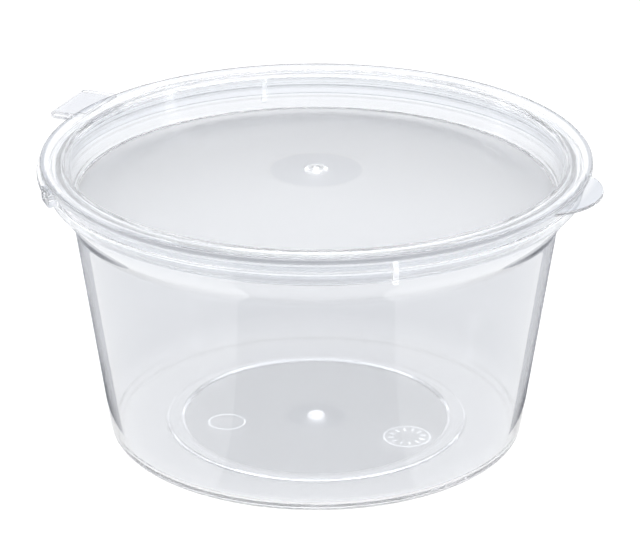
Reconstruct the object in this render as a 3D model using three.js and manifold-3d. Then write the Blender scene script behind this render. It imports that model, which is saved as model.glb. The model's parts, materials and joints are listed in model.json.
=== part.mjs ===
// A round portion cup of clear polypropylene with a lid hinged to its rim, shut.
// Millimetres, +Z up. The origin is the centre of the cup's flat underside, the hinge lies
// towards -X and the finger tab towards +X.

import * as THREE from 'three';
import { mergeVertices } from 'three/addons/utils/BufferGeometryUtils.js';
import Module from 'manifold-3d';

// Driving dimensions
const RIM_RADIUS = 37.5; // outer edge of the lid
const HEIGHT = 40; // underside of the cup to the crown of the lid
const BASE_RADIUS = 28.8; // outside of the wall, just above the base corner
const WALL_TAPER = 0.142; // outward run of the wall for each millimetre of height
const CUP_WALL = 0.6;
const LID_WALL = 0.5;
const CLEARANCE = 0.3; // between cup, lid and hinge film
const ROUND_STEPS = 72; // facets round the cup and the lid

// Cup
const BASE_THICKNESS = 0.8;
const CORNER_RADIUS = 1.1;
const SHOULDER_START = 31; // the wall flares above this height, to take the lid's plug
const SHOULDER_END = 35.2;
const SHOULDER_RADIUS = 35.1;
const LIP_TOP = HEIGHT - 1.2;
const COLLAR_RADIUS = 36.4;
const COLLAR_FOOT = HEIGHT - 4.05;
const BEAD_HEIGHT = HEIGHT - 2.58; // the line round the collar
const BEAD_SIZE = 0.3;
const RING_INNER = 18.6; // low ring moulded in the floor
const RING_OUTER = 20.9;
const RING_RISE = 0.25;
const BASE_DIMPLE_RADIUS = 4.2;
const GATE_RADIUS = 1.2;
const GATE_RISE = 0.3;

// Lid
const PLUG_TOP_RADIUS = 34.1; // mouth of the recess in the lid
const PLUG_FOOT_RADIUS = 33;
const PANEL_EDGE_DEPTH = 5.4; // below the crown
const PANEL_CENTRE_DEPTH = 2.6; // the panel is domed up in the middle
const PANEL_FILLET = 0.8;
const LID_DIMPLE_RADIUS = 6.5;
const DIMPLE_DEPTH = 0.12;
const EDGE_UNDERSIDE = HEIGHT - 0.9;
const EDGE_THICKNESS = 0.4;

// Finger tab: a half-moon, part of a circle that sticks out of the lid's edge
const TAB_REACH = 40.4;
const TAB_RADIUS = 9.4;
const TAB_THICKNESS = 0.45;

// Hinge strap: one plate on the lid, one on the cup, and a film where they fold
const HINGE_X = -41.3;
const FILM_RADIUS = 0.5;
const STRAP_NEAR = 2.7; // the strap lies to one side of the centre line
const STRAP_FAR = 12.8;
const STRAP_THICKNESS = 0.4;
const STRAP_CORNER = 1.6;
const STRAP_ROOT = 34.8; // how far in the plates run, into the rim

// Hinge flange round the side of the collar, and the lug that it ends in. The lid's edge has
// a lug of the same outline above it.
const FLANGE_RADIUS = 37.9;
const FLANGE_UNDERSIDE = HEIGHT - 1.8;
const FLANGE_SPAN = [178, 219.5]; // degrees from +X
const LUG_RADIUS = 38.1;
const LUG_UNDERSIDE = HEIGHT - 2.4;
const LUG_SPAN = [219, 224.5];

// Two upright ribs on the collar, at the front and at the back
const FRONT_RIB_ANGLE = -51.6;
const FRONT_RIB_FOOT = HEIGHT - 4.4;
const BACK_RIB_ANGLE = 124.7;
const BACK_RIB_FOOT = HEIGHT - 5.4;
const RIB_WIDTH = 0.8;
const RIB_PROUD = 0.55;

const wasm = await Module();
wasm.setup();

const radians = (degrees) => (degrees * Math.PI) / 180;

// A lathe profile as [radius, height] pairs, turned about Z.
function turned(profile) {
  const points = profile.map(([radius, height]) => new THREE.Vector2(radius, height));
  return new THREE.LatheGeometry(points, ROUND_STEPS).rotateX(Math.PI / 2);
}

// An outline in the plan view, raised from one height to another.
function raised(shape, low, high, curveSegments = 6) {
  const geometry = new THREE.ExtrudeGeometry(shape, {
    depth: high - low,
    bevelEnabled: false,
    curveSegments,
  });
  return geometry.translate(0, 0, low);
}

function solid(geometry) {
  geometry.deleteAttribute('normal');
  geometry.deleteAttribute('uv');
  const merged = mergeVertices(geometry, 1e-4);
  const index = merged.index.array;
  const triangles = [];
  for (let i = 0; i < index.length; i += 3) {
    const [a, b, c] = index.slice(i, i + 3);
    if (a !== b && b !== c && c !== a) triangles.push(a, b, c);
  }
  const mesh = (triVerts) =>
    new wasm.Mesh({
      numProp: 3,
      vertProperties: new Float32Array(merged.attributes.position.array),
      triVerts: new Uint32Array(triVerts),
    });
  const made = new wasm.Manifold(mesh(triangles));
  return made.volume() > 0 ? made : new wasm.Manifold(mesh(triangles.reverse()));
}

function joined(geometries) {
  return geometries.map(solid).reduce((whole, piece) => whole.add(piece));
}

function meshOf(name, body, material) {
  const { numProp, vertProperties, triVerts } = body.getMesh();
  if (numProp !== 3) throw new Error(`${name} has more than positions`);
  const geometry = new THREE.BufferGeometry();
  geometry.setAttribute('position', new THREE.BufferAttribute(vertProperties, 3));
  geometry.setIndex(new THREE.BufferAttribute(triVerts, 1));
  geometry.computeVertexNormals();
  const mesh = new THREE.Mesh(geometry, material);
  mesh.name = name;
  return mesh;
}

// Points on a quarter turn from one angle to another, round a centre in a profile.
function arc(centreRadius, centreHeight, radius, fromDegrees, toDegrees, steps) {
  return Array.from({ length: steps + 1 }, (_, i) => {
    const angle = radians(fromDegrees + ((toDegrees - fromDegrees) * i) / steps);
    return [centreRadius + radius * Math.cos(angle), centreHeight + radius * Math.sin(angle)];
  });
}

// The wall's outer radius at a height: straight and tapered, then flared at the shoulder.
function wallRadius(height) {
  const straight = BASE_RADIUS + WALL_TAPER * (Math.min(height, SHOULDER_START) - CORNER_RADIUS);
  if (height <= SHOULDER_START) return straight;
  const t = Math.min(1, (height - SHOULDER_START) / (SHOULDER_END - SHOULDER_START));
  return straight + (SHOULDER_RADIUS - straight) * t * t * (3 - 2 * t);
}

function cupProfile() {
  const floor = BASE_THICKNESS;
  const innerCorner = wallRadius(CORNER_RADIUS) - CUP_WALL;
  const shoulder = [0, 0.25, 0.5, 0.75, 1].map(
    (t) => SHOULDER_START + t * (SHOULDER_END - SHOULDER_START),
  );
  const lipUnderside = LIP_TOP - CUP_WALL;
  const collarInside = COLLAR_RADIUS - CUP_WALL + 0.05;
  return [
    [0, 0],
    ...arc(BASE_RADIUS - CORNER_RADIUS, CORNER_RADIUS, CORNER_RADIUS, -90, 0, 4),
    ...shoulder.map((height) => [wallRadius(height), height]),
    [SHOULDER_RADIUS, lipUnderside],
    [collarInside, lipUnderside],
    [collarInside, COLLAR_FOOT + 0.15],
    [collarInside + 0.15, COLLAR_FOOT],
    [COLLAR_RADIUS - 0.15, COLLAR_FOOT],
    [COLLAR_RADIUS, COLLAR_FOOT + 0.15],
    ...arc(COLLAR_RADIUS, BEAD_HEIGHT, BEAD_SIZE, -90, 90, 4),
    [COLLAR_RADIUS, LIP_TOP - 0.3],
    [COLLAR_RADIUS - 0.3, LIP_TOP],
    [SHOULDER_RADIUS - CUP_WALL + 0.3, LIP_TOP],
    [SHOULDER_RADIUS - CUP_WALL, LIP_TOP - 0.3],
    ...shoulder.reverse().map((height) => [wallRadius(height) - CUP_WALL, height]),
    ...arc(innerCorner - CORNER_RADIUS, floor + CORNER_RADIUS, CORNER_RADIUS, 0, -90, 4),
    [RING_OUTER, floor],
    [RING_OUTER - 0.3, floor + RING_RISE],
    [RING_INNER + 0.3, floor + RING_RISE],
    [RING_INNER, floor],
    [BASE_DIMPLE_RADIUS + 0.2, floor],
    [BASE_DIMPLE_RADIUS - 0.2, floor - DIMPLE_DEPTH],
    [GATE_RADIUS, floor - DIMPLE_DEPTH],
    [GATE_RADIUS - 0.3, floor - DIMPLE_DEPTH + GATE_RISE],
    [0, floor - DIMPLE_DEPTH + GATE_RISE],
  ];
}

// Height of the lid panel's upper face: a low dome.
function panelHeight(radius) {
  const edge = HEIGHT - PANEL_EDGE_DEPTH;
  const rise = PANEL_EDGE_DEPTH - PANEL_CENTRE_DEPTH;
  return edge + rise * (1 - (radius / PLUG_FOOT_RADIUS) ** 2);
}

function lidProfile() {
  const foot = PLUG_FOOT_RADIUS;
  const bend = panelHeight(foot - PANEL_FILLET) + PANEL_FILLET;
  const dome = [LID_DIMPLE_RADIUS + 0.4, 14, 21, 27].map((radius) => [radius, panelHeight(radius)]);
  const sunk = panelHeight(LID_DIMPLE_RADIUS) - DIMPLE_DEPTH;
  const under = [foot - PANEL_FILLET, 27, 21, 14, 7, 0].map(
    (radius) => [radius, panelHeight(radius) - LID_WALL],
  );
  return [
    [0, sunk + GATE_RISE],
    [GATE_RADIUS - 0.3, sunk + GATE_RISE],
    [GATE_RADIUS, sunk],
    [LID_DIMPLE_RADIUS, sunk],
    ...dome,
    ...arc(foot - PANEL_FILLET, bend, PANEL_FILLET, -90, 0, 3),
    [PLUG_TOP_RADIUS - 0.3, HEIGHT - 0.7],
    [PLUG_TOP_RADIUS, HEIGHT - 0.2],
    [PLUG_TOP_RADIUS + 0.45, HEIGHT],
    [RIM_RADIUS - 1.5, HEIGHT],
    [RIM_RADIUS - 0.9, HEIGHT - 0.18],
    [RIM_RADIUS - 0.2, EDGE_UNDERSIDE + EDGE_THICKNESS],
    [RIM_RADIUS, EDGE_UNDERSIDE + EDGE_THICKNESS / 2],
    [RIM_RADIUS - 0.1, EDGE_UNDERSIDE],
    [PLUG_TOP_RADIUS + 0.5, EDGE_UNDERSIDE],
    [PLUG_TOP_RADIUS - 0.3 + LID_WALL, EDGE_UNDERSIDE - 0.2],
    [foot + LID_WALL, bend],
    [foot + LID_WALL - 0.35, bend - PANEL_FILLET - LID_WALL / 2],
    ...under,
  ];
}

// The finger tab's outline, run back into the lid's rim.
function fingerTab() {
  const centre = TAB_REACH - TAB_RADIUS;
  const root = RIM_RADIUS - 2;
  const half = Math.acos((root - centre) / TAB_RADIUS);
  const shape = new THREE.Shape();
  shape.absarc(centre, 0, TAB_RADIUS, -half, half, false);
  shape.closePath();
  return raised(shape, EDGE_UNDERSIDE, EDGE_UNDERSIDE + TAB_THICKNESS, 20);
}

// One plate of the hinge strap. Its outer corners are round, and its free end stops
// short of the film by the clearance.
function strapPlate(low) {
  const free = HINGE_X + FILM_RADIUS + CLEARANCE;
  const shape = new THREE.Shape();
  shape.moveTo(-STRAP_ROOT, STRAP_NEAR);
  shape.lineTo(free, STRAP_NEAR);
  shape.lineTo(free, STRAP_FAR - STRAP_CORNER);
  shape.quadraticCurveTo(free, STRAP_FAR, free + STRAP_CORNER, STRAP_FAR);
  shape.lineTo(-STRAP_ROOT - 1.5, STRAP_FAR + 0.6);
  shape.lineTo(-STRAP_ROOT + 0.5, STRAP_FAR + 0.6);
  shape.closePath();
  return raised(shape, low, low + STRAP_THICKNESS);
}

// A band round the outside of the collar, between two directions given in degrees.
function collarBand([from, to], radius, low, high) {
  const shape = new THREE.Shape();
  shape.absarc(0, 0, radius, radians(from), radians(to), false);
  shape.absarc(0, 0, COLLAR_RADIUS - 0.25, radians(to), radians(from), true);
  shape.closePath();
  return raised(shape, low, high, 10);
}

// An upright rib on the collar with a round foot, modelled facing +X and turned.
function collarRib(degrees, foot) {
  const half = RIB_WIDTH / 2;
  const shape = new THREE.Shape();
  shape.moveTo(half, LIP_TOP - 0.2);
  shape.lineTo(-half, LIP_TOP - 0.2);
  shape.lineTo(-half, foot + half);
  shape.absarc(0, foot + half, half, Math.PI, 2 * Math.PI, false);
  shape.closePath();
  const inside = COLLAR_RADIUS - 0.25;
  const depth = COLLAR_RADIUS + RIB_PROUD - inside;
  const geometry = new THREE.ExtrudeGeometry(shape, { depth, bevelEnabled: false, curveSegments: 4 });
  geometry.rotateX(Math.PI / 2).rotateZ(Math.PI / 2).translate(inside, 0, 0);
  return geometry.rotateZ(radians(degrees));
}

// The thin film where the strap folds: a round bar along the hinge line.
function hingeFilm() {
  const length = STRAP_FAR - STRAP_NEAR - STRAP_CORNER / 2;
  const geometry = new THREE.CylinderGeometry(FILM_RADIUS, FILM_RADIUS, length, 12);
  const height = (LIP_TOP + EDGE_UNDERSIDE) / 2;
  return geometry.translate(HINGE_X, STRAP_NEAR + length / 2, height);
}

const clear = (color) =>
  new THREE.MeshStandardMaterial({ color, roughness: 0.12, metalness: 0, opacity: 0.35, transparent: true });

const cup = joined([
  turned(cupProfile()),
  strapPlate(LIP_TOP - STRAP_THICKNESS),
  collarBand(FLANGE_SPAN, FLANGE_RADIUS, FLANGE_UNDERSIDE, LIP_TOP),
  collarBand(LUG_SPAN, LUG_RADIUS, LUG_UNDERSIDE, LIP_TOP),
  collarRib(FRONT_RIB_ANGLE, FRONT_RIB_FOOT),
  collarRib(BACK_RIB_ANGLE, BACK_RIB_FOOT),
]);
const lid = joined([
  turned(lidProfile()),
  fingerTab(),
  strapPlate(EDGE_UNDERSIDE),
  collarBand(LUG_SPAN, LUG_RADIUS, EDGE_UNDERSIDE, EDGE_UNDERSIDE + EDGE_THICKNESS),
]);

const container = new THREE.Group();
container.add(
  meshOf('cup', cup, clear(0xe4e8ee)),
  meshOf('lid', lid, clear(0xe8ecf2)),
  meshOf('hinge_film', solid(hingeFilm()), clear(0xe6eaf0)),
);

export default container;
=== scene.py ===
import json
import math

import bpy
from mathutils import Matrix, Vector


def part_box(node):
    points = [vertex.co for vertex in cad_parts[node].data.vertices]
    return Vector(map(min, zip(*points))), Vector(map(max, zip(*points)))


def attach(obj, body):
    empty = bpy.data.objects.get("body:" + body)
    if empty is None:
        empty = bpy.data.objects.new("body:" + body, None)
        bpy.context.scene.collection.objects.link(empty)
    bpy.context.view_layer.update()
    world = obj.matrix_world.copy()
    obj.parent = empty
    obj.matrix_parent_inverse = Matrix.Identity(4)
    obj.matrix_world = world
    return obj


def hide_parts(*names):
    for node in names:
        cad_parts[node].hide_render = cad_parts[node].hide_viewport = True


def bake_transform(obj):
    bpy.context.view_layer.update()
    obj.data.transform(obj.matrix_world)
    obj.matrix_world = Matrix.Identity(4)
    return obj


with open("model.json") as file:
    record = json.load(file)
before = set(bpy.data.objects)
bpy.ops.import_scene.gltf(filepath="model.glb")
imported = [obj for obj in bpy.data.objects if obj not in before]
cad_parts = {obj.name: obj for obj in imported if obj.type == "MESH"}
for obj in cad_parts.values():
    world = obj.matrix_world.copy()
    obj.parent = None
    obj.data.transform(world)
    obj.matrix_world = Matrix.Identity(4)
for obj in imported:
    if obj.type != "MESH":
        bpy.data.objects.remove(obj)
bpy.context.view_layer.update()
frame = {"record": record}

# ---------------------------------------------------------------- camera
# The photograph looks down on the pot by 23 degrees, from 0.43 m away with a long lens. The pot
# stands turned, with its finger tab to the right and its hinge at the back left.

CAMERA_TURN = math.radians(22.5)  # from the pot's -Y side towards its finger tab
CAMERA_AWAY = 0.4055
CAMERA_HEIGHT = 0.193
CAMERA_PITCH = math.radians(22.75)
LENS_MM = 179.4
SENSOR_MM = 36
FRAME_SHIFT = 0.006

camera_place = (
    CAMERA_AWAY * math.sin(CAMERA_TURN),
    -CAMERA_AWAY * math.cos(CAMERA_TURN),
    CAMERA_HEIGHT,
)
bpy.ops.object.camera_add(
    location=camera_place, rotation=(math.pi / 2 - CAMERA_PITCH, 0, CAMERA_TURN)
)
camera = bpy.context.object
camera.name = "camera"
camera.data.lens = LENS_MM
camera.data.sensor_width = SENSOR_MM
camera.data.shift_x = FRAME_SHIFT
bpy.context.scene.camera = camera

# ---------------------------------------------------------------- floor and light
# A white sweep that burns out to plain white, as in a product shot. The room round it is pale, but
# grey near the floor, which draws the edges of the clear plastic. Soft boxes add highlights.

FLOOR_SIZE = 6
FLOOR_DROP = 0.0001  # just clear of the pot's underside
FLOOR_GLOW = 1.08
bpy.ops.object.select_all(action="DESELECT")
bpy.ops.mesh.primitive_plane_add(size=FLOOR_SIZE, location=(0, 0, -FLOOR_DROP))
floor = bpy.context.object
floor.name = "floor"

white_floor = bpy.data.materials.new("white_floor")
white_floor.use_nodes = True
floor_shader = white_floor.node_tree.nodes["Principled BSDF"]
floor_shader.inputs["Roughness"].default_value = 0.9
floor_shader.inputs["Base Color"].default_value = (0.06, 0.06, 0.06, 1)
floor_shader.inputs["Emission Color"].default_value = (1, 1, 1, 1)
floor_shader.inputs["Emission Strength"].default_value = FLOOR_GLOW
floor.data.materials.append(white_floor)


def ramped(tree, source, stops):
    """Turns a value into a colour, or into a grey where a stop holds a plain number."""
    node = tree.nodes.new("ShaderNodeValToRGB")
    elements = node.color_ramp.elements
    shades = [(at, shade if isinstance(shade, tuple) else (shade,) * 3) for at, shade in stops]
    for element, (at, shade) in zip(elements, (shades[0], shades[-1])):
        element.position = at
        element.color = (*shade, 1)
    for at, shade in shades[1:-1]:
        elements.new(at).color = (*shade, 1)
    tree.links.new(source, node.inputs["Fac"])
    return node.outputs["Color"]


world = bpy.data.worlds.new("studio")
world.use_nodes = True
room = world.node_tree
direction = room.nodes.new("ShaderNodeTexCoord")
upward = room.nodes.new("ShaderNodeSeparateXYZ")
room.links.new(direction.outputs["Generated"], upward.inputs[0])
room_shade = ramped(
    room,
    upward.outputs["Z"],
    [(0.1, (0.4, 0.41, 0.44)), (0.3, (0.95, 0.96, 0.98)), (0.6, (0.88, 0.90, 0.94))],
)
room.links.new(room_shade, room.nodes["Background"].inputs["Color"])
bpy.context.scene.world = world

POT_MIDDLE = 0.02  # the height that the lights are aimed at


def soft_box(name, place, size, power):
    """A rectangular light at place, turned to face the pot."""
    bpy.ops.object.light_add(type="AREA", location=place)
    lamp = bpy.context.object
    lamp.name = name
    lamp.data.shape = "RECTANGLE"
    lamp.data.size, lamp.data.size_y = size
    lamp.data.energy = power
    x, y, z = place
    lamp.rotation_euler = (math.atan2(math.hypot(x, y), z - POT_MIDDLE), 0, math.atan2(x, -y))


soft_box("top_box", (0, 0.5, 1.2), (1.0, 0.6), 4)
soft_box("back_box", (-0.45, 1.05, 0.75), (1.0, 0.16), 0.4)
soft_box("left_box", (-1.0, -0.25, 0.55), (0.12, 0.8), 0.8)
soft_box("right_box", (1.05, 0.1, 0.5), (0.12, 0.8), 0.8)

# Three dark cards lie on the floor round the pot, seen in reflections alone. The two behind it
# darken the edges of the clear wall, and the one in front its middle.
CARD_INSIDE = 0.031
CARD_OUTSIDE = 0.15
CARD_HEIGHT = 0.0003
CARD_SIDES = 180


def dark_card(name, shade, sides):
    """A flat ring cut by upright planes, each given by a place and a direction that it faces."""
    bpy.ops.object.select_all(action="DESELECT")
    bpy.ops.mesh.primitive_circle_add(
        vertices=CARD_SIDES, radius=CARD_INSIDE, location=(0, 0, CARD_HEIGHT)
    )
    card = bpy.context.object
    card.name = name
    bpy.ops.object.mode_set(mode="EDIT")
    bpy.ops.mesh.extrude_edges_move()
    growth = CARD_OUTSIDE / CARD_INSIDE
    bpy.ops.transform.resize(value=(growth, growth, 1), center_override=(0, 0, CARD_HEIGHT))
    for (x, y), degrees in sides:
        facing = (math.cos(math.radians(degrees)), math.sin(math.radians(degrees)), 0)
        bpy.ops.mesh.select_all(action="SELECT")
        bpy.ops.mesh.bisect(plane_co=(x, y, CARD_HEIGHT), plane_no=facing, clear_outer=True)
    bpy.ops.object.mode_set(mode="OBJECT")
    card.rotation_euler = (0, 0, CAMERA_TURN)
    paint = bpy.data.materials.new(name)
    paint.use_nodes = True
    paint.node_tree.nodes["Principled BSDF"].inputs["Base Color"].default_value = shade
    card.data.materials.append(paint)
    card.visible_camera = False
    card.visible_diffuse = False
    card.visible_shadow = False
    card.visible_transmission = False


GREY_CARD = (0.26, 0.27, 0.30, 1)
DEEP_GREY_CARD = (0.2, 0.2, 0.22, 1)
dark_card("card_right", GREY_CARD, [((0.0282, -0.0103), -40), ((0.024, 0), 180)])
dark_card("card_left", GREY_CARD, [((-0.0282, -0.0103), -140), ((-0.024, 0), 0)])
dark_card("card_front", DEEP_GREY_CARD, [((0, 0), 30), ((0, 0), 150)])

# Light runs a long way inside a clear rim before it comes out again, so its paths are kept long.
LONG_PATH = 128
bpy.context.scene.view_settings.view_transform = "Standard"
bpy.context.scene.view_settings.exposure = 0
bpy.context.scene.cycles.max_bounces = LONG_PATH
bpy.context.scene.cycles.transmission_bounces = LONG_PATH
bpy.context.scene.cycles.glossy_bounces = LONG_PATH
bpy.context.scene.cycles.diffuse_bounces = LONG_PATH // 2

# ---------------------------------------------------------------- cup
# The cup is injection-moulded in clear polypropylene, half a millimetre thick. Its wall flares
# near the top to take the lid's plug, and the lip turns out and down into a collar with a bead.

MM = 0.001
SIDES = 192
SMOOTH_ANGLE = math.radians(40)
PLASTIC_IOR = 1.49
CLEAR_GLOSS = 0.05
FLOOR_FROST = 0.3
COOL_WHITE = (0.97, 0.98, 1, 1)
rim_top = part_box("lid")[1][2] / MM
lip_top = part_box("cup")[1][2] / MM
rim_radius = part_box("lid")[1][1] / MM

BASE_RADIUS = 28.8
WALL_TAPER = 0.142
CORNER_RADIUS = 1.1
CUP_WALL = 0.6
FLOOR_THICKNESS = 0.8
SHOULDER_START = 31
SHOULDER_END = 35.2
SHOULDER_RADIUS = 35.1
LIP_THICKNESS = 0.55
LIP_ROUND = 0.25
MOUTH_ROUND = 0.3
FOOT_FLAT = 27.2  # the flat underside reaches this far out
COLLAR_RADIUS = 36.4
COLLAR_DROP = 2.85
COLLAR_ROUND = 0.2
BEAD_DROP = 1.38
BEAD_SIZE = 0.3


def turned(name, profile):
    """A round piece: a ring drawn out along the profile of (radius, height) in millimetres."""
    bpy.ops.object.select_all(action="DESELECT")
    radius, height = profile[0]
    bpy.ops.mesh.primitive_circle_add(
        vertices=SIDES, radius=radius * MM, location=(0, 0, height * MM)
    )
    piece = bpy.context.object
    piece.name = name
    bpy.ops.object.transform_apply(location=True, rotation=True, scale=True)
    bpy.ops.object.mode_set(mode="EDIT")
    bpy.ops.mesh.select_all(action="SELECT")
    bpy.ops.mesh.edge_face_add()
    for next_radius, next_height in profile[1:]:
        rise = (next_height - height) * MM
        bpy.ops.mesh.extrude_edges_move(TRANSFORM_OT_translate={"value": (0, 0, rise)})
        spread = next_radius / radius
        level = (0, 0, next_height * MM)
        bpy.ops.transform.resize(value=(spread, spread, 1), center_override=level)
        radius, height = next_radius, next_height
    bpy.ops.mesh.edge_face_add()
    bpy.ops.mesh.select_all(action="SELECT")
    bpy.ops.mesh.normals_make_consistent(inside=False)
    bpy.ops.object.mode_set(mode="OBJECT")
    return piece


def arc(centre_radius, centre_height, size, start, end, steps):
    """Points of a profile on a round corner, from one angle to another in degrees."""
    points = []
    for step in range(steps + 1):
        angle = math.radians(start + (end - start) * step / steps)
        points.append(
            (centre_radius + size * math.cos(angle), centre_height + size * math.sin(angle))
        )
    return points


def wall_radius(height):
    """The outside of the cup's wall: a straight taper, then the flare of the shoulder."""
    straight = BASE_RADIUS + WALL_TAPER * (min(height, SHOULDER_START) - CORNER_RADIUS)
    if height <= SHOULDER_START:
        return straight
    t = min(1, (height - SHOULDER_START) / (SHOULDER_END - SHOULDER_START))
    return straight + (SHOULDER_RADIUS - straight) * t * t * (3 - 2 * t)


inner_corner = wall_radius(CORNER_RADIUS) - CUP_WALL
wall_heights = [8, 15, 22, 28]
shoulder_heights = [SHOULDER_START + (SHOULDER_END - SHOULDER_START) * i / 12 for i in range(13)]
lip_underside = lip_top - LIP_THICKNESS
collar_inside = COLLAR_RADIUS - LIP_THICKNESS
collar_foot = lip_top - COLLAR_DROP
bead_height = lip_top - BEAD_DROP

outside = (
    [(1, 0), (FOOT_FLAT, 0)]
    + arc(BASE_RADIUS - CORNER_RADIUS, CORNER_RADIUS, CORNER_RADIUS, -90, 0, 8)
    + [(wall_radius(z), z) for z in wall_heights + shoulder_heights]
    + [(SHOULDER_RADIUS, lip_underside - 0.3)]
)
collar = (
    [(SHOULDER_RADIUS + 0.1, lip_underside), (collar_inside - 0.1, lip_underside)]
    + [(collar_inside, lip_underside - 0.1)]
    + arc(collar_inside + COLLAR_ROUND, collar_foot + COLLAR_ROUND, COLLAR_ROUND, 180, 270, 3)
    + arc(COLLAR_RADIUS - COLLAR_ROUND, collar_foot + COLLAR_ROUND, COLLAR_ROUND, 270, 360, 3)
    + arc(COLLAR_RADIUS, bead_height, BEAD_SIZE, -90, 90, 8)
    + arc(COLLAR_RADIUS - LIP_ROUND, lip_top - LIP_ROUND, LIP_ROUND, 0, 90, 4)
)
inside = (
    arc(SHOULDER_RADIUS - CUP_WALL + MOUTH_ROUND, lip_top - MOUTH_ROUND, MOUTH_ROUND, 90, 180, 4)
    + [(wall_radius(z) - CUP_WALL, z) for z in reversed(wall_heights + shoulder_heights)]
    + arc(inner_corner - CORNER_RADIUS, FLOOR_THICKNESS + CORNER_RADIUS, CORNER_RADIUS, 0, -90, 8)
)
# The floor from the wall inwards: a low flat-topped ring, then the round recess at the centre.
RING_FOOT = 0.86
RING_SHOULDER = 1.02
RING_TOP = 1.07
RECESS_FLOOR = 0.75
floor_rings = (
    [(26.8, FLOOR_THICKNESS), (21.4, FLOOR_THICKNESS), (21.1, FLOOR_THICKNESS)]
    + [(20.9, RING_FOOT), (20.75, RING_SHOULDER), (20.55, RING_TOP)]
    + [(18.95, RING_TOP), (18.75, RING_SHOULDER), (18.6, RING_FOOT)]
    + [(radius, FLOOR_THICKNESS) for radius in (18.4, 18.1, 4.7, 4.4)]
    + [(radius, RECESS_FLOOR) for radius in (4.1, 3.8, 1.6, 1)]
)
cup = turned("cup_shell", outside + collar + inside + floor_rings)
clear_cup = bpy.data.materials.new("clear_cup")
cup.data.materials.append(clear_cup)


def only(piece):
    """Selects one piece alone and makes it the active one."""
    bpy.ops.object.select_all(action="DESELECT")
    piece.select_set(True)
    bpy.context.view_layer.objects.active = piece


def fused(shell, detail):
    """Joins a detail into the shell as one solid, and removes the detail."""
    only(shell)
    union = shell.modifiers.new("fused", "BOOLEAN")
    union.operation = "UNION"
    union.solver = "EXACT"
    union.object = detail
    bpy.ops.object.modifier_apply(modifier=union.name)
    only(detail)
    bpy.ops.object.delete()


def softened(piece, width):
    """Rounds the sharp edges of a small moulded detail."""
    only(piece)
    rounding = piece.modifiers.new("rounding", "BEVEL")
    rounding.width = width * MM
    rounding.segments = 3
    rounding.limit_method = "ANGLE"
    bpy.ops.object.modifier_apply(modifier=rounding.name)


def highlighted(piece, places):
    """Gives the line material, with its painted highlight glow, in slot 1, to faces at places
    (radius, height, reach).
    """
    for face in piece.data.polygons:
        middle = face.center / MM
        at = (math.hypot(middle.x, middle.y), middle.z)
        if any(math.dist(at, (radius, height)) < reach for radius, height, reach in places):
            face.material_index = 1


def finished(piece):
    """Smooth shading, with the flat faces kept flat beside their rounded edges."""
    only(piece)
    bpy.ops.object.shade_smooth_by_angle(angle=SMOOTH_ANGLE)
    shading = piece.modifiers.new("even_shading", "WEIGHTED_NORMAL")
    shading.keep_sharp = True
    bpy.ops.object.modifier_apply(modifier=shading.name)


# Everything seen as a fine white line is one material: clear plastic that scatters a little light,
# with a glow, a painted highlight, in place of what it catches from the white floor. The lines
# on the cup's floor are seen through its wall and the lid, so their painted glow is stronger than
# on the rim.
LINE_GLOW_LOW = 0.8  # on the cup's floor
LINE_GLOW_HIGH = 0.22  # on the rim


def stretched(tree, source, start, end, low=0, high=1):
    """Carries a value from the range start to end over to the range low to high."""
    node = tree.nodes.new("ShaderNodeMapRange")
    node.inputs["From Min"].default_value = start
    node.inputs["From Max"].default_value = end
    node.inputs["To Min"].default_value = low
    node.inputs["To Max"].default_value = high
    tree.links.new(source, node.inputs["Value"])
    return node.outputs["Result"]


def combined(tree, operation, first, second):
    """One value from two, by a Math node."""
    node = tree.nodes.new("ShaderNodeMath")
    node.operation = operation
    tree.links.new(first, node.inputs[0])
    tree.links.new(second, node.inputs[1])
    return node.outputs[0]


highlight_line = bpy.data.materials.new("highlight_line")
highlight_line.use_nodes = True
line = highlight_line.node_tree
line_shader = line.nodes["Principled BSDF"]
line_shader.inputs["Base Color"].default_value = (1, 1, 1, 1)
line_shader.inputs["IOR"].default_value = PLASTIC_IOR
line_shader.inputs["Roughness"].default_value = 0.15
line_shader.inputs["Transmission Weight"].default_value = 0.9
line_shader.inputs["Emission Color"].default_value = COOL_WHITE
line_place = line.nodes.new("ShaderNodeTexCoord")
line_axes = line.nodes.new("ShaderNodeSeparateXYZ")
line.links.new(line_place.outputs["Object"], line_axes.inputs[0])
glow_noise = line.nodes.new("ShaderNodeTexNoise")
glow_noise.inputs["Scale"].default_value = 900
line.links.new(line_place.outputs["Object"], glow_noise.inputs["Vector"])
line_fall = stretched(line, line_axes.outputs["Z"], 0.002, 0.03, LINE_GLOW_LOW, LINE_GLOW_HIGH)
line_vary = stretched(line, glow_noise.outputs["Fac"], 0, 1, 0.5, 1.2)
line_glow = combined(line, "MULTIPLY", line_fall, line_vary)
line.links.new(line_glow, line_shader.inputs["Emission Strength"])
cup.data.materials.append(highlight_line)
# The sides of the floor's ring and the crest of the bead get the line material's painted highlight.
RING_SIDE_HEIGHT = 0.94
ring_sides = [(radius, RING_SIDE_HEIGHT, 0.1) for radius in (18.67, 20.83)]
bead_crest = (COLLAR_RADIUS + BEAD_SIZE, bead_height, 0.12)
highlighted(cup, [*ring_sides, bead_crest])

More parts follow.
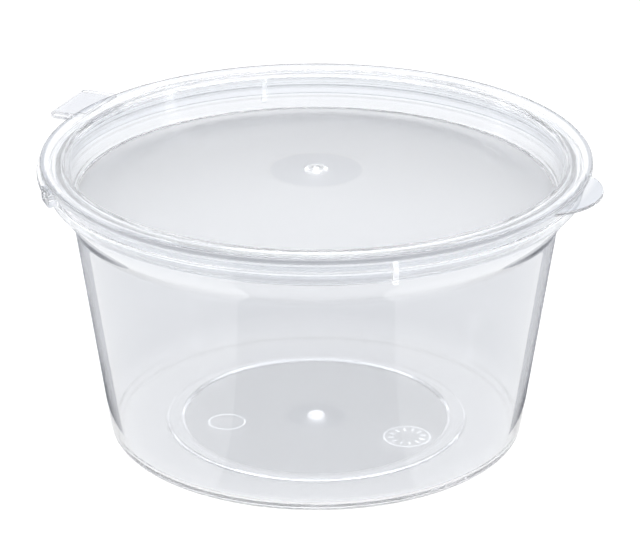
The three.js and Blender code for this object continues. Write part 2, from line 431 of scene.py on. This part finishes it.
# Two upright ribs stand on the collar, one at the front and one at the back, a little longer.
RIB_WIDTH = 0.8
RIB_REACH = 36.95
RIB_ROUND = 0.22
ROOT_DEPTH = 0.3  # how far a detail runs into the collar that it stands on
FRONT_RIB = (-51.6, lip_top - 3.2)  # degrees from the finger tab, and the height of its foot
BACK_RIB = (124.7, lip_top - 4.2)
rib_inside = COLLAR_RADIUS - ROOT_DEPTH
rib_middle = (RIB_REACH + rib_inside) / 2 * MM
rib_head = lip_top - 0.15
for degrees, rib_foot in (FRONT_RIB, BACK_RIB):
    turn = math.radians(degrees)
    rib_height = (rib_foot + rib_head) / 2 * MM
    bpy.ops.object.select_all(action="DESELECT")
    bpy.ops.mesh.primitive_cube_add(
        size=MM,
        location=(rib_middle * math.cos(turn), rib_middle * math.sin(turn), rib_height),
        rotation=(0, 0, turn),
        scale=(RIB_REACH - rib_inside, RIB_WIDTH, rib_head - rib_foot),
    )
    rib = bpy.context.object
    rib.name = "collar_rib"
    bpy.ops.object.transform_apply(location=True, rotation=True, scale=True)
    softened(rib, RIB_ROUND)
    # The rib carries the line material, whose glow is a painted highlight.
    rib.data.materials.append(highlight_line)
    fused(cup, rib)

BAND_STEPS = 24
BAND_ROUND = 0.12


def collar_band(name, start, end, reach, underside, top):
    """A length of flange round the outside of the collar, between two angles in degrees."""
    bpy.ops.object.select_all(action="DESELECT")
    inner = COLLAR_RADIUS - ROOT_DEPTH
    middle = (reach + inner) / 2 * MM
    turn = math.radians(start)
    bpy.ops.mesh.primitive_plane_add(
        size=MM,
        location=(middle * math.cos(turn), middle * math.sin(turn), (underside + top) / 2 * MM),
        rotation=(math.pi / 2, 0, turn),
    )
    band = bpy.context.object
    band.name = name
    bpy.ops.object.transform_apply(location=False, rotation=False, scale=True)
    band.scale = (reach - inner, top - underside, 1)
    bpy.ops.object.transform_apply(location=True, rotation=True, scale=True)
    bpy.ops.object.mode_set(mode="EDIT")
    bpy.ops.mesh.select_all(action="SELECT")
    bpy.ops.mesh.spin(
        steps=BAND_STEPS, angle=math.radians(start - end), center=(0, 0, 0), axis=(0, 0, 1)
    )
    bpy.ops.mesh.select_all(action="SELECT")
    bpy.ops.mesh.normals_make_consistent(inside=False)
    bpy.ops.object.mode_set(mode="OBJECT")
    softened(band, BAND_ROUND)
    return band


# A flange that the strap grows from runs round the collar, and ends in a deeper lug.
FLANGE_START = 178
FLANGE_REACH = 37.9
LUG_START = 219
LUG_END = 224.5
LUG_REACH = 38.1
flange_heights = (lip_top - 0.6, lip_top - 0.02)
lug_heights = (lip_top - 1.23, lip_top - 0.01)
fused(
    cup, collar_band("hinge_flange", FLANGE_START, LUG_START + 0.5, FLANGE_REACH, *flange_heights)
)
fused(cup, collar_band("hinge_lug", LUG_START, LUG_END, LUG_REACH, *lug_heights))

# Fine raised lines on the floor: a plain mark, a mark with twelve short ticks inside it, and the
# gate at the centre.
MARK_LINE = 0.11
MARK_HEIGHT = 0.76
PLAIN_MARK = (-10.66, -6.85, 2.5)  # place, and radius of the ring
TICKED_MARK = (14.33, -1.72, 3.2)
TICKS = 12
TICK_SIZE = (0.8, 0.16, 0.16)
TICK_RADIUS = 2.2
TICK_HEIGHT = 0.78
FLOOR_GATE_RADIUS = 1.3
FLOOR_GATE_HEIGHT = 0.71
bpy.ops.object.select_all(action="DESELECT")
marks = []
for x, y, size in (PLAIN_MARK, TICKED_MARK):
    bpy.ops.mesh.primitive_torus_add(
        major_radius=size * MM,
        minor_radius=MARK_LINE * MM,
        major_segments=96,
        minor_segments=10,
        location=(x * MM, y * MM, MARK_HEIGHT * MM),
    )
    marks.append(bpy.context.object)
for tick in range(TICKS):
    turn = math.radians(tick * 360 / TICKS)
    x = TICKED_MARK[0] + TICK_RADIUS * math.cos(turn)
    y = TICKED_MARK[1] + TICK_RADIUS * math.sin(turn)
    bpy.ops.mesh.primitive_cube_add(
        size=MM,
        location=(x * MM, y * MM, TICK_HEIGHT * MM),
        rotation=(0, 0, turn),
        scale=TICK_SIZE,
    )
    marks.append(bpy.context.object)
bpy.ops.mesh.primitive_uv_sphere_add(
    segments=32,
    ring_count=16,
    radius=FLOOR_GATE_RADIUS * MM,
    location=(0, 0, FLOOR_GATE_HEIGHT * MM),
    scale=(1, 1, 0.5),
)
marks.append(bpy.context.object)
for mark in marks:
    mark.select_set(True)
bpy.context.view_layer.objects.active = marks[0]
bpy.ops.object.join()
floor_marks = bpy.context.object
floor_marks.name = "floor_marks"
bpy.ops.object.transform_apply(location=True, rotation=True, scale=True)
# The marks and the gate carry the line material's painted highlight.
floor_marks.data.materials.append(highlight_line)
fused(cup, floor_marks)

# Clear moulded plastic, looked up by distance from the middle of the underside and by height: a
# frosted disc with a thinner spot at its centre, a clear wall darkened by painted shade, and
# milkier lines where it is thick.
FROSTED = (0.975, 0.983, 0.995)
# The wall's darker colour is painted shade.
WALL_PAINTED_SHADE = (0.81, 0.82, 0.84)
FLOOR_EDGE_TINT = (0.95, 0.955, 0.965)
DIMPLE_TINT = (0.91, 0.92, 0.94)
COLLAR_TINT = (0.955, 0.963, 0.977)
TINT_REACH = 0.05  # the distance at which the tint's scale reaches 1
FROST_EDGE = (0.0184, 0.0188)
COLLAR_PAINTED_GLOW = 0.018
clear_cup.use_nodes = True
cup_tree = clear_cup.node_tree
cup_shader = cup_tree.nodes["Principled BSDF"]
cup_shader.inputs["IOR"].default_value = PLASTIC_IOR
cup_shader.inputs["Emission Color"].default_value = COOL_WHITE
cup_place = cup_tree.nodes.new("ShaderNodeTexCoord")
cup_axes = cup_tree.nodes.new("ShaderNodeSeparateXYZ")
cup_tree.links.new(cup_place.outputs["Object"], cup_axes.inputs[0])
cup_distance = cup_tree.nodes.new("ShaderNodeVectorMath")
cup_distance.operation = "LENGTH"
cup_tree.links.new(cup_place.outputs["Object"], cup_distance.inputs[0])
cup_span = stretched(cup_tree, cup_distance.outputs["Value"], 0, TINT_REACH)
cup_tint = ramped(
    cup_tree,
    cup_span,
    [
        (0.026, (1, 1, 1)),
        (0.03, DIMPLE_TINT),
        (0.082, DIMPLE_TINT),
        (0.086, FROSTED),
        (0.368, FROSTED),
        (0.376, FLOOR_EDGE_TINT),
        (0.56, FLOOR_EDGE_TINT),
        (0.58, WALL_PAINTED_SHADE),
        (0.91, WALL_PAINTED_SHADE),
        (0.96, COLLAR_TINT),
    ],
)
cup_tree.links.new(cup_tint, cup_shader.inputs["Base Color"])
cup_rise_clear = ramped(
    cup_tree,
    stretched(cup_tree, cup_axes.outputs["Z"], 0.034, 0.039),
    [
        (0, 0.97),
        (0.34, 0.97),
        (0.38, 0.8),
        (0.44, 0.985),
        (0.63, 0.985),
        (0.68, 0.8),
        (0.74, 0.985),
        (0.88, 0.99),
        (1, 0.99),
    ],
)
cup_ring_clear = ramped(
    cup_tree,
    cup_span,
    [
        (0.022, 0.9),
        (0.03, 0.97),
        (0.366, 0.97),
        (0.373, 0.85),
        (0.381, 0.97),
        (0.409, 0.97),
        (0.416, 0.85),
        (0.424, 0.97),
        (0.542, 0.97),
        (0.552, 0.85),
        (0.562, 0.97),
    ],
)
cup_clear = combined(cup_tree, "MINIMUM", cup_rise_clear, cup_ring_clear)
cup_tree.links.new(cup_clear, cup_shader.inputs["Transmission Weight"])
# From the collar's foot up the cup glows faintly: a painted highlight.
collar_painted_glow = stretched(cup_tree, cup_axes.outputs["Z"], 0.0352, 0.0362, 0, COLLAR_PAINTED_GLOW)
cup_tree.links.new(collar_painted_glow, cup_shader.inputs["Emission Strength"])
cup_frost = stretched(
    cup_tree, cup_distance.outputs["Value"], *FROST_EDGE, FLOOR_FROST, CLEAR_GLOSS
)
cup_tree.links.new(cup_frost, cup_shader.inputs["Roughness"])


def rippled(tree, place, shader):
    """The slight waviness of thin moulded plastic."""
    flow = tree.nodes.new("ShaderNodeTexNoise")
    flow.inputs["Scale"].default_value = 90
    flow.inputs["Detail"].default_value = 3
    ripple = tree.nodes.new("ShaderNodeBump")
    ripple.inputs["Strength"].default_value = 0.15
    ripple.inputs["Distance"].default_value = 0.0001
    tree.links.new(place.outputs["Object"], flow.inputs["Vector"])
    tree.links.new(flow.outputs["Fac"], ripple.inputs["Height"])
    tree.links.new(ripple.outputs["Normal"], shader.inputs["Normal"])


rippled(cup_tree, cup_place, cup_shader)
finished(cup)
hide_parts("cup")
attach(cup, "cup")

# ---------------------------------------------------------------- lid
# The lid is moulded with the cup, in the same plastic. Its flat rim lies on the cup's lip, a
# plug wall goes down into the mouth, and the frosted panel is domed with the gate at its centre.

PLUG_TOP = 34.1
PLUG_FOOT = 33.0
PANEL_EDGE_DEPTH = 5.4
PANEL_RISE = 3.2
PANEL_FILLET = 0.8
LID_WALL = 0.5
RECESS_RADIUS = 6.5
RECESS_DEPTH = 0.05
GROOVE_DEPTH = 0.05
RIM_ROUND = 0.25
EDGE_ROUND = 0.2
PANEL_FROST = 0.28
EDGE_UNDERSIDE = rim_top - 0.9


def panel_height(radius):
    """The top of the domed panel."""
    return rim_top - PANEL_EDGE_DEPTH + PANEL_RISE * (1 - (radius / PLUG_FOOT) ** 2)


bend = panel_height(PLUG_FOOT - PANEL_FILLET) + PANEL_FILLET
sunk = panel_height(RECESS_RADIUS) - RECESS_DEPTH
panel_radii = [6.7, 7.1, 10, 14, 18, 22, 26, 29, 31]
panel_top = (
    [(radius, sunk) for radius in (1, 1.6, 6.2, 6.4)]
    + [(radius, panel_height(radius)) for radius in panel_radii]
    + arc(PLUG_FOOT - PANEL_FILLET, bend, PANEL_FILLET, -90, 0, 6)
)
rim = (
    [(PLUG_TOP - 0.3, rim_top - 0.75), (PLUG_TOP, rim_top - 0.25)]
    + arc(PLUG_TOP + 0.3, rim_top - 0.3, 0.3, 180, 90, 4)
    + [(rim_radius - 2.3, rim_top), (rim_radius - 2.1, rim_top - GROOVE_DEPTH)]
    + [(rim_radius - 1.2, rim_top - GROOVE_DEPTH), (rim_radius - 1.0, rim_top)]
    + arc(rim_radius - RIM_ROUND, rim_top - RIM_ROUND, RIM_ROUND, 90, 0, 4)
    + arc(rim_radius - EDGE_ROUND, EDGE_UNDERSIDE + EDGE_ROUND, EDGE_ROUND, 0, -90, 4)
)
underside = (
    [(PLUG_TOP + 0.5, EDGE_UNDERSIDE), (PLUG_TOP + 0.25, EDGE_UNDERSIDE - 0.2)]
    + [(PLUG_FOOT + LID_WALL, bend)]
    + arc(PLUG_FOOT + LID_WALL - 0.6, bend - 0.4, 0.6, 0, -70, 4)
    + [(radius, panel_height(radius) - LID_WALL) for radius in reversed(panel_radii)]
    + [(1, panel_height(1) - LID_WALL)]
)
lid = turned("lid_shell", panel_top + rim + underside)
clear_lid = bpy.data.materials.new("clear_lid")
lid.data.materials.append(clear_lid)
lid.data.materials.append(highlight_line)

# The finger tab is a half-moon that grows out of the rim's edge, with a white line along it: a
# painted highlight on its upper rounding.
TAB_REACH = 40.4
TAB_RADIUS = 9.4
TAB_THICKNESS = 0.45
TAB_ROUND = 0.2
TAB_ROOT = 1.8  # how far in from the rim's edge the tab starts
bpy.ops.object.select_all(action="DESELECT")
bpy.ops.mesh.primitive_cylinder_add(
    vertices=128,
    radius=TAB_RADIUS * MM,
    depth=TAB_THICKNESS * MM,
    location=((TAB_REACH - TAB_RADIUS) * MM, 0, (EDGE_UNDERSIDE + TAB_THICKNESS / 2) * MM),
)
tab = bpy.context.object
tab.name = "finger_tab"
bpy.ops.object.transform_apply(location=True, rotation=True, scale=True)
bpy.ops.object.mode_set(mode="EDIT")
bpy.ops.mesh.select_all(action="SELECT")
bpy.ops.mesh.bisect(
    plane_co=((rim_radius - TAB_ROOT) * MM, 0, 0),
    plane_no=(1, 0, 0),
    use_fill=True,
    clear_inner=True,
)
bpy.ops.object.mode_set(mode="OBJECT")
softened(tab, TAB_ROUND)
tab.data.materials.append(clear_lid)
tab.data.materials.append(highlight_line)
for face in tab.data.polygons:
    upper_rounding = 0.1 < face.normal.z < 0.95
    face.material_index = 1 if upper_rounding else 0
fused(lid, tab)

# The gate in the middle of the panel is a low round ridge with a nib inside it, both with the line
# material's painted highlight.
RIDGE_RADIUS = 1.25
RIDGE_SIZE = 0.36
NIB_RADIUS = 0.5
NIB_LIFT = 0.03
bpy.ops.object.select_all(action="DESELECT")
bpy.ops.mesh.primitive_torus_add(
    major_radius=RIDGE_RADIUS * MM,
    minor_radius=RIDGE_SIZE * MM,
    major_segments=64,
    minor_segments=16,
    location=(0, 0, sunk * MM),
)
ridge = bpy.context.object
ridge.name = "gate_ridge"
bpy.ops.object.transform_apply(location=True, rotation=True, scale=True)
ridge.data.materials.append(highlight_line)
fused(lid, ridge)
bpy.ops.object.select_all(action="DESELECT")
bpy.ops.mesh.primitive_uv_sphere_add(
    segments=24,
    ring_count=12,
    radius=NIB_RADIUS * MM,
    location=(0, 0, (sunk + NIB_LIFT) * MM),
    scale=(1, 1, 0.8),
)
nib = bpy.context.object
nib.name = "gate_nib"
bpy.ops.object.transform_apply(location=True, rotation=True, scale=True)
nib.data.materials.append(highlight_line)
fused(lid, nib)

# The lid has a lug of its own over the cup's, of the same outline.
LID_LUG_THICKNESS = 0.4
lid_lug_top = EDGE_UNDERSIDE + LID_LUG_THICKNESS
fused(lid, collar_band("lid_lug", LUG_START, LUG_END, LUG_REACH, EDGE_UNDERSIDE, lid_lug_top))

# The same plastic, looked up by distance from the axis: a frosted panel with a darker round recess,
# and a clear rim with milkier lines, a dark outer edge and a darker tab, both painted shade.
PANEL_TINT = (0.98, 0.985, 0.995)
PLUG_TINT = (0.93, 0.94, 0.955)
RIM_TINT = (0.968, 0.974, 0.984)
# Painted shade: the dark outline at the rim's edge, the edge beyond it and the tab.
OUTLINE_PAINTED_SHADE = (0.6, 0.62, 0.66)
EDGE_TINT = (0.84, 0.855, 0.885)
TAB_PAINTED_SHADE = (0.74, 0.765, 0.81)
LID_TINT_REACH = 0.04
RIM_BAND = (0.032, 0.038)  # from the plug to just past the rim's edge
clear_lid.use_nodes = True
lid_tree = clear_lid.node_tree
lid_shader = lid_tree.nodes["Principled BSDF"]
lid_shader.inputs["IOR"].default_value = PLASTIC_IOR
lid_shader.inputs["Emission Strength"].default_value = 1
lid_place = lid_tree.nodes.new("ShaderNodeTexCoord")
lid_flat = lid_tree.nodes.new("ShaderNodeVectorMath")
lid_flat.operation = "MULTIPLY"
lid_flat.inputs[1].default_value = (1, 1, 0)
lid_tree.links.new(lid_place.outputs["Object"], lid_flat.inputs[0])
lid_radius = lid_tree.nodes.new("ShaderNodeVectorMath")
lid_radius.operation = "LENGTH"
lid_tree.links.new(lid_flat.outputs["Vector"], lid_radius.inputs[0])
lid_tint = ramped(
    lid_tree,
    stretched(lid_tree, lid_radius.outputs["Value"], 0, LID_TINT_REACH),
    [
        (0.155, (0.9, 0.91, 0.93)),
        (0.16, (0.995, 0.997, 1)),
        (0.175, PANEL_TINT),
        (0.82, PANEL_TINT),
        (0.835, PLUG_TINT),
        (0.865, PLUG_TINT),
        (0.88, RIM_TINT),
        (0.918, RIM_TINT),
        (0.923, OUTLINE_PAINTED_SHADE),
        (0.932, OUTLINE_PAINTED_SHADE),
        (0.935, EDGE_TINT),
        (0.95, EDGE_TINT),
        (0.965, TAB_PAINTED_SHADE),
    ],
)
lid_tree.links.new(lid_tint, lid_shader.inputs["Base Color"])
lid_rim = stretched(lid_tree, lid_radius.outputs["Value"], *RIM_BAND)
lid_rim_clear = ramped(
    lid_tree,
    lid_rim,
    [
        (0, 0.97),
        (0.05, 0.97),
        (0.10, 0.75),
        (0.17, 0.9),
        (0.20, 0.985),
        (0.31, 0.985),
        (0.36, 0.85),
        (0.42, 0.985),
        (0.52, 0.985),
        (0.55, 0.8),
        (0.58, 0.985),
        (0.70, 0.98),
        (0.735, 0.78),
        (0.77, 0.985),
        (0.867, 0.98),
        (0.908, 0.82),
        (0.94, 0.985),
        (1, 0.93),
    ],
)
lid_gate_clear = stretched(lid_tree, lid_radius.outputs["Value"], 0.0012, 0.0016, 0.85, 1)
lid_clear = combined(lid_tree, "MINIMUM", lid_rim_clear, lid_gate_clear)
lid_tree.links.new(lid_clear, lid_shader.inputs["Transmission Weight"])
# Bands on the rim glow faintly: a painted highlight.
rim_painted_glow = ramped(
    lid_tree,
    lid_rim,
    [(0.22, 0.0), (0.3, 0.025), (0.66, 0.025), (0.71, 0.09), (0.79, 0.09), (0.83, 0.0)],
)
lid_tree.links.new(rim_painted_glow, lid_shader.inputs["Emission Color"])
lid_frost = stretched(
    lid_tree, lid_radius.outputs["Value"], 0.0325, 0.0333, PANEL_FROST, CLEAR_GLOSS
)
lid_tree.links.new(lid_frost, lid_shader.inputs["Roughness"])
rippled(lid_tree, lid_place, lid_shader)
finished(lid)
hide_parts("lid")
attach(lid, "lid")

# ---------------------------------------------------------------- hinge strap
# The strap is one thin strip from the cup's lip to the lid's rim. With the lid shut it is folded in
# two, and the fold is the hinge; on the real pot it is thinned to a film, here it keeps the strap's
# thickness.

hinge_place = frame["record"]["behaviour"]["joints"][0]["pos_m"]
hinge_x = hinge_place[0] / MM
hinge_z = hinge_place[2] / MM
STRAP_NEAR = 2.7
STRAP_FAR = 12.6
STRAP_THICKNESS = 0.4
STRAP_CORNER = 1.6
LEAF_RISE = 0.35  # from the hinge line to the middle of each leaf
STRAP_ROOT = -36.2
STRAP_ROUND = 0.06
FOLD_STEPS = 8
FOLD_INSET = 0.15  # from the hinge line in to where the leaves start to curve
OUTLINE_LENGTH = 8
OUTLINE_MIDDLE = -38
OUTLINE_HEIGHT = 3
NEAR = 1e-6

bpy.ops.object.select_all(action="DESELECT")
bpy.ops.mesh.primitive_plane_add(size=MM)
strap = bpy.context.object
strap.name = "hinge_strap"
root_length = STRAP_ROOT - hinge_x - FOLD_INSET
strap.scale = (root_length, STRAP_FAR - STRAP_NEAR + 1, 1)
strap.location = (
    (STRAP_ROOT - root_length / 2) * MM,
    (STRAP_NEAR + STRAP_FAR) / 2 * MM,
    (hinge_z - LEAF_RISE) * MM,
)
bpy.ops.object.transform_apply(location=True, rotation=True, scale=True)
bpy.ops.object.mode_set(mode="EDIT")
bpy.ops.mesh.select_all(action="DESELECT")
bpy.ops.object.mode_set(mode="OBJECT")
fold_x = (hinge_x + FOLD_INSET) * MM
for edge in strap.data.edges:
    edge.select = all(abs(strap.data.vertices[v].co.x - fold_x) < NEAR for v in edge.vertices)
bpy.ops.object.mode_set(mode="EDIT")
bpy.ops.mesh.select_mode(type="EDGE")
bpy.ops.mesh.spin(
    steps=FOLD_STEPS, angle=-math.pi, center=(fold_x, 0, hinge_z * MM), axis=(0, 1, 0)
)
bpy.ops.mesh.extrude_edges_move(TRANSFORM_OT_translate={"value": (root_length * MM, 0, 0)})
bpy.ops.mesh.select_all(action="SELECT")
bpy.ops.mesh.normals_make_consistent(inside=False)
bpy.ops.object.mode_set(mode="OBJECT")
sheet = strap.modifiers.new("thickness", "SOLIDIFY")
sheet.thickness = STRAP_THICKNESS * MM
sheet.offset = 0
bpy.ops.object.modifier_apply(modifier=sheet.name)

# The outline that the strap is cut to has one rounded corner, at its far end.
bpy.ops.object.select_all(action="DESELECT")
bpy.ops.mesh.primitive_cube_add(size=1)
outline = bpy.context.object
outline.name = "strap_outline"
outline.scale = (OUTLINE_LENGTH * MM, (STRAP_FAR - STRAP_NEAR) * MM, OUTLINE_HEIGHT * MM)
outline.location = (OUTLINE_MIDDLE * MM, (STRAP_NEAR + STRAP_FAR) / 2 * MM, hinge_z * MM)
bpy.ops.object.transform_apply(location=True, rotation=True, scale=True)
bpy.ops.object.mode_set(mode="EDIT")
bpy.ops.mesh.select_all(action="DESELECT")
bpy.ops.object.mode_set(mode="OBJECT")
far_corner = (min(v.co.x for v in outline.data.vertices), STRAP_FAR * MM)
for edge in outline.data.edges:
    ends = [outline.data.vertices[v].co for v in edge.vertices]
    edge.select = all(math.dist((end.x, end.y), far_corner) < NEAR for end in ends)
bpy.ops.object.mode_set(mode="EDIT")
bpy.ops.mesh.select_mode(type="EDGE")
bpy.ops.mesh.bevel(offset=STRAP_CORNER * MM, segments=8)
bpy.ops.object.mode_set(mode="OBJECT")
only(strap)
rounded = strap.modifiers.new("rounded", "BOOLEAN")
rounded.operation = "INTERSECT"
rounded.solver = "EXACT"
rounded.object = outline
bpy.ops.object.modifier_apply(modifier=rounded.name)
only(outline)
bpy.ops.object.delete()
softened(strap, STRAP_ROUND)

# The same plastic again, with a slight cloudiness.
clear_strap = bpy.data.materials.new("clear_strap")
strap.data.materials.append(clear_strap)
clear_strap.use_nodes = True
strap_tree = clear_strap.node_tree
strap_shader = strap_tree.nodes["Principled BSDF"]
strap_shader.inputs["IOR"].default_value = PLASTIC_IOR
strap_shader.inputs["Roughness"].default_value = 0.08
strap_shader.inputs["Transmission Weight"].default_value = 0.97
strap_place = strap_tree.nodes.new("ShaderNodeTexCoord")
strap_flow = strap_tree.nodes.new("ShaderNodeTexNoise")
strap_flow.inputs["Scale"].default_value = 120
strap_tree.links.new(strap_place.outputs["Object"], strap_flow.inputs["Vector"])
strap_tint = ramped(
    strap_tree,
    strap_flow.outputs["Fac"],
    [(0.4, (0.92, 0.93, 0.955)), (0.6, (0.94, 0.945, 0.965))],
)
strap_tree.links.new(strap_tint, strap_shader.inputs["Base Color"])
finished(strap)
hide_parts("hinge_film")
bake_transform(strap)
